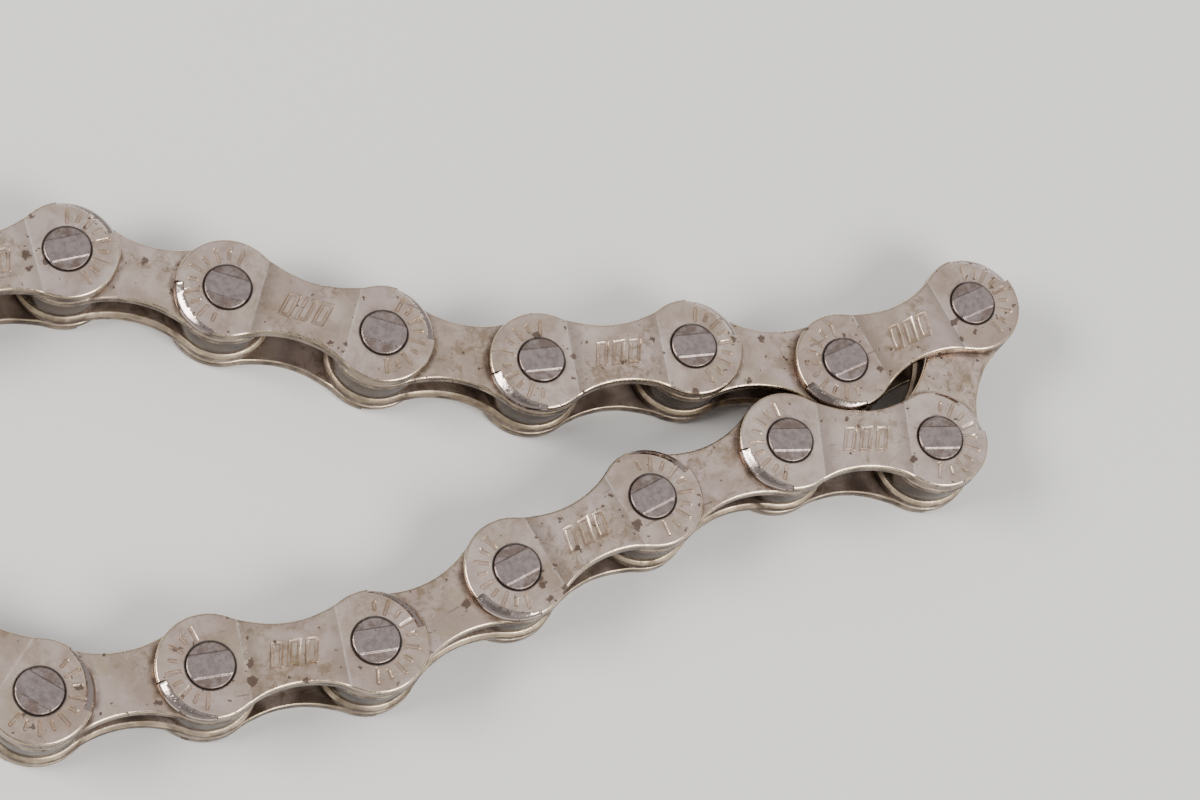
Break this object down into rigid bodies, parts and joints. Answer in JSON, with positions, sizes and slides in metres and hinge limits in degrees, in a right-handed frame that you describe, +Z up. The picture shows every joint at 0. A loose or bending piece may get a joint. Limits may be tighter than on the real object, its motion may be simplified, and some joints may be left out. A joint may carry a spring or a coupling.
{
  "type": "roller chain",
  "caption": "Narrow bushless half-inch roller chain, a short length lying on its side in an open hairpin, with one inner and one open outer end.",
  "frame": {"origin": "centre of the chain's plan, on the surface that the lower rivet ends lie on", "axes": "+Z up along every rivet axis, +X along the hairpin towards its closed end, +Y from the riveted near strand to the far strand"},
  "size_m": [0.1064, 0.0432, 0.0071],
  "materials": {
    "outer_plate": "nickel plated, satin, lightly soiled",
    "inner_plate": "nickel plated, duller, stained",
    "roller": "polished by running, oily",
    "rivet": "blue-grey hardened steel, staked ends"
  },
  "bodies": {
    "inner_link_01": {"inner_plate_01_upper": "inner_plate", "inner_plate_01_lower": "inner_plate"},
    "outer_link_01": {"outer_plate_01_upper": "outer_plate", "outer_plate_01_lower": "outer_plate", "rivets_01": "rivet"},
    "inner_link_02": {"inner_plate_02_upper": "inner_plate", "inner_plate_02_lower": "inner_plate"},
    "outer_link_02": {"outer_plate_02_upper": "outer_plate", "outer_plate_02_lower": "outer_plate", "rivets_02": "rivet"},
    "inner_link_03": {"inner_plate_03_upper": "inner_plate", "inner_plate_03_lower": "inner_plate"},
    "outer_link_03": {"outer_plate_03_upper": "outer_plate", "outer_plate_03_lower": "outer_plate", "rivets_03": "rivet"},
    "inner_link_04": {"inner_plate_04_upper": "inner_plate", "inner_plate_04_lower": "inner_plate"},
    "outer_link_04": {"outer_plate_04_upper": "outer_plate", "outer_plate_04_lower": "outer_plate", "rivets_04": "rivet"},
    "inner_link_05": {"inner_plate_05_upper": "inner_plate", "inner_plate_05_lower": "inner_plate"},
    "outer_link_05": {"outer_plate_05_upper": "outer_plate", "outer_plate_05_lower": "outer_plate", "rivets_05": "rivet"},
    "inner_link_06": {"inner_plate_06_upper": "inner_plate", "inner_plate_06_lower": "inner_plate"},
    "outer_link_06": {"outer_plate_06_upper": "outer_plate", "outer_plate_06_lower": "outer_plate", "rivets_06": "rivet"},
    "inner_link_07": {"inner_plate_07_upper": "inner_plate", "inner_plate_07_lower": "inner_plate"},
    "outer_link_07": {"outer_plate_07_upper": "outer_plate", "outer_plate_07_lower": "outer_plate", "rivets_07": "rivet"},
    "inner_link_08": {"inner_plate_08_upper": "inner_plate", "inner_plate_08_lower": "inner_plate"},
    "outer_link_08": {"outer_plate_08_upper": "outer_plate", "outer_plate_08_lower": "outer_plate", "rivets_08": "rivet"},
    "roller_body_01": {"roller_01": "roller"},
    "roller_body_02": {"roller_02": "roller"},
    "roller_body_03": {"roller_03": "roller"},
    "roller_body_04": {"roller_04": "roller"},
    "roller_body_05": {"roller_05": "roller"},
    "roller_body_06": {"roller_06": "roller"},
    "roller_body_07": {"roller_07": "roller"},
    "roller_body_08": {"roller_08": "roller"},
    "roller_body_09": {"roller_09": "roller"},
    "roller_body_10": {"roller_10": "roller"},
    "roller_body_11": {"roller_11": "roller"},
    "roller_body_12": {"roller_12": "roller"},
    "roller_body_13": {"roller_13": "roller"},
    "roller_body_14": {"roller_14": "roller"},
    "roller_body_15": {"roller_15": "roller"},
    "roller_body_16": {"roller_16": "roller"}
  },
  "joints": [
    {"name": "link_hinge_01", "type": "hinge", "parent": "outer_link_01", "child": "inner_link_01", "pos_m": [-0.0364, 0.01616, 0.00355], "axis": [0, 0, -1], "range_deg": [-144, 132]},
    {"name": "link_hinge_02", "type": "hinge", "parent": "inner_link_02", "child": "outer_link_01", "pos_m": [-0.02377, 0.01749, 0.00355], "axis": [0, 0, 1], "range_deg": [-165, 111]},
    {"name": "link_hinge_03", "type": "hinge", "parent": "outer_link_02", "child": "inner_link_02", "pos_m": [-0.01191, 0.01294, 0.00355], "axis": [0, 0, -1], "range_deg": [-45, 103]},
    {"name": "link_hinge_04", "type": "hinge", "parent": "inner_link_03", "child": "outer_link_02", "pos_m": [-0.00031, 0.00778, 0.00355], "axis": [0, 0, 1], "range_deg": [-93, 25]},
    {"name": "link_hinge_05", "type": "hinge", "parent": "outer_link_03", "child": "inner_link_03", "pos_m": [0.01183, 0.00406, 0.00355], "axis": [0, 0, -1], "range_deg": [-17, 84]},
    {"name": "link_hinge_06", "type": "hinge", "parent": "inner_link_04", "child": "outer_link_03", "pos_m": [0.02453, 0.00384, 0.00355], "axis": [0, 0, 1], "range_deg": [-106, 13]},
    {"name": "link_hinge_07", "type": "hinge", "parent": "outer_link_04", "child": "inner_link_04", "pos_m": [0.03695, 0.0012, 0.00355], "axis": [0, 0, -1], "range_deg": [0, 71]},
    {"name": "link_hinge_08", "type": "hinge", "parent": "inner_link_05", "child": "outer_link_04", "pos_m": [0.0491, 0.00491, 0.00355], "axis": [0, 0, 1], "range_deg": [-150, 0]},
    {"name": "link_hinge_09", "type": "hinge", "parent": "inner_link_05", "child": "outer_link_05", "pos_m": [0.04333, -0.0064, 0.00355], "axis": [0, 0, 1], "range_deg": [0, 140]},
    {"name": "link_hinge_10", "type": "hinge", "parent": "outer_link_05", "child": "inner_link_06", "pos_m": [0.0307, -0.00507, 0.00355], "axis": [0, 0, -1], "range_deg": [-79, 12]},
    {"name": "link_hinge_11", "type": "hinge", "parent": "inner_link_06", "child": "outer_link_06", "pos_m": [0.01844, -0.00836, 0.00355], "axis": [0, 0, 1], "range_deg": [-14, 95]},
    {"name": "link_hinge_12", "type": "hinge", "parent": "outer_link_06", "child": "inner_link_07", "pos_m": [0.0065, -0.01271, 0.00355], "axis": [0, 0, -1], "range_deg": [-100, 18]},
    {"name": "link_hinge_13", "type": "hinge", "parent": "inner_link_07", "child": "outer_link_07", "pos_m": [-0.00543, -0.01705, 0.00355], "axis": [0, 0, 1], "range_deg": [-33, 119]},
    {"name": "link_hinge_14", "type": "hinge", "parent": "outer_link_07", "child": "inner_link_08", "pos_m": [-0.01813, -0.01727, 0.00355], "axis": [0, 0, -1], "range_deg": [-100, 65]},
    {"name": "link_hinge_15", "type": "hinge", "parent": "inner_link_08", "child": "outer_link_08", "pos_m": [-0.03083, -0.01749, 0.00355], "axis": [0, 0, 1], "range_deg": [-97, 179]},
    {"name": "roller_spin_01", "type": "hinge", "parent": "inner_link_01", "child": "roller_body_01", "pos_m": [-0.0491, 0.01616, 0.00355], "axis": [0, 0, 1], "continuous": true},
    {"name": "roller_spin_02", "type": "hinge", "parent": "inner_link_01", "child": "roller_body_02", "pos_m": [-0.0364, 0.01616, 0.00355], "axis": [0, 0, 1], "continuous": true},
    {"name": "roller_spin_03", "type": "hinge", "parent": "inner_link_02", "child": "roller_body_03", "pos_m": [-0.02377, 0.01749, 0.00355], "axis": [0, 0, 1], "continuous": true},
    {"name": "roller_spin_04", "type": "hinge", "parent": "inner_link_02", "child": "roller_body_04", "pos_m": [-0.01191, 0.01294, 0.00355], "axis": [0, 0, 1], "continuous": true},
    {"name": "roller_spin_05", "type": "hinge", "parent": "inner_link_03", "child": "roller_body_05", "pos_m": [-0.00031, 0.00778, 0.00355], "axis": [0, 0, 1], "continuous": true},
    {"name": "roller_spin_06", "type": "hinge", "parent": "inner_link_03", "child": "roller_body_06", "pos_m": [0.01183, 0.00406, 0.00355], "axis": [0, 0, 1], "continuous": true},
    {"name": "roller_spin_07", "type": "hinge", "parent": "inner_link_04", "child": "roller_body_07", "pos_m": [0.02453, 0.00384, 0.00355], "axis": [0, 0, 1], "continuous": true},
    {"name": "roller_spin_08", "type": "hinge", "parent": "inner_link_04", "child": "roller_body_08", "pos_m": [0.03695, 0.0012, 0.00355], "axis": [0, 0, 1], "continuous": true},
    {"name": "roller_spin_09", "type": "hinge", "parent": "inner_link_05", "child": "roller_body_09", "pos_m": [0.0491, 0.00491, 0.00355], "axis": [0, 0, 1], "continuous": true},
    {"name": "roller_spin_10", "type": "hinge", "parent": "inner_link_05", "child": "roller_body_10", "pos_m": [0.04333, -0.0064, 0.00355], "axis": [0, 0, 1], "continuous": true},
    {"name": "roller_spin_11", "type": "hinge", "parent": "inner_link_06", "child": "roller_body_11", "pos_m": [0.0307, -0.00507, 0.00355], "axis": [0, 0, 1], "continuous": true},
    {"name": "roller_spin_12", "type": "hinge", "parent": "inner_link_06", "child": "roller_body_12", "pos_m": [0.01844, -0.00836, 0.00355], "axis": [0, 0, 1], "continuous": true},
    {"name": "roller_spin_13", "type": "hinge", "parent": "inner_link_07", "child": "roller_body_13", "pos_m": [0.0065, -0.01271, 0.00355], "axis": [0, 0, 1], "continuous": true},
    {"name": "roller_spin_14", "type": "hinge", "parent": "inner_link_07", "child": "roller_body_14", "pos_m": [-0.00543, -0.01705, 0.00355], "axis": [0, 0, 1], "continuous": true},
    {"name": "roller_spin_15", "type": "hinge", "parent": "inner_link_08", "child": "roller_body_15", "pos_m": [-0.01813, -0.01727, 0.00355], "axis": [0, 0, 1], "continuous": true},
    {"name": "roller_spin_16", "type": "hinge", "parent": "inner_link_08", "child": "roller_body_16", "pos_m": [-0.03083, -0.01749, 0.00355], "axis": [0, 0, 1], "continuous": true}
  ]
}
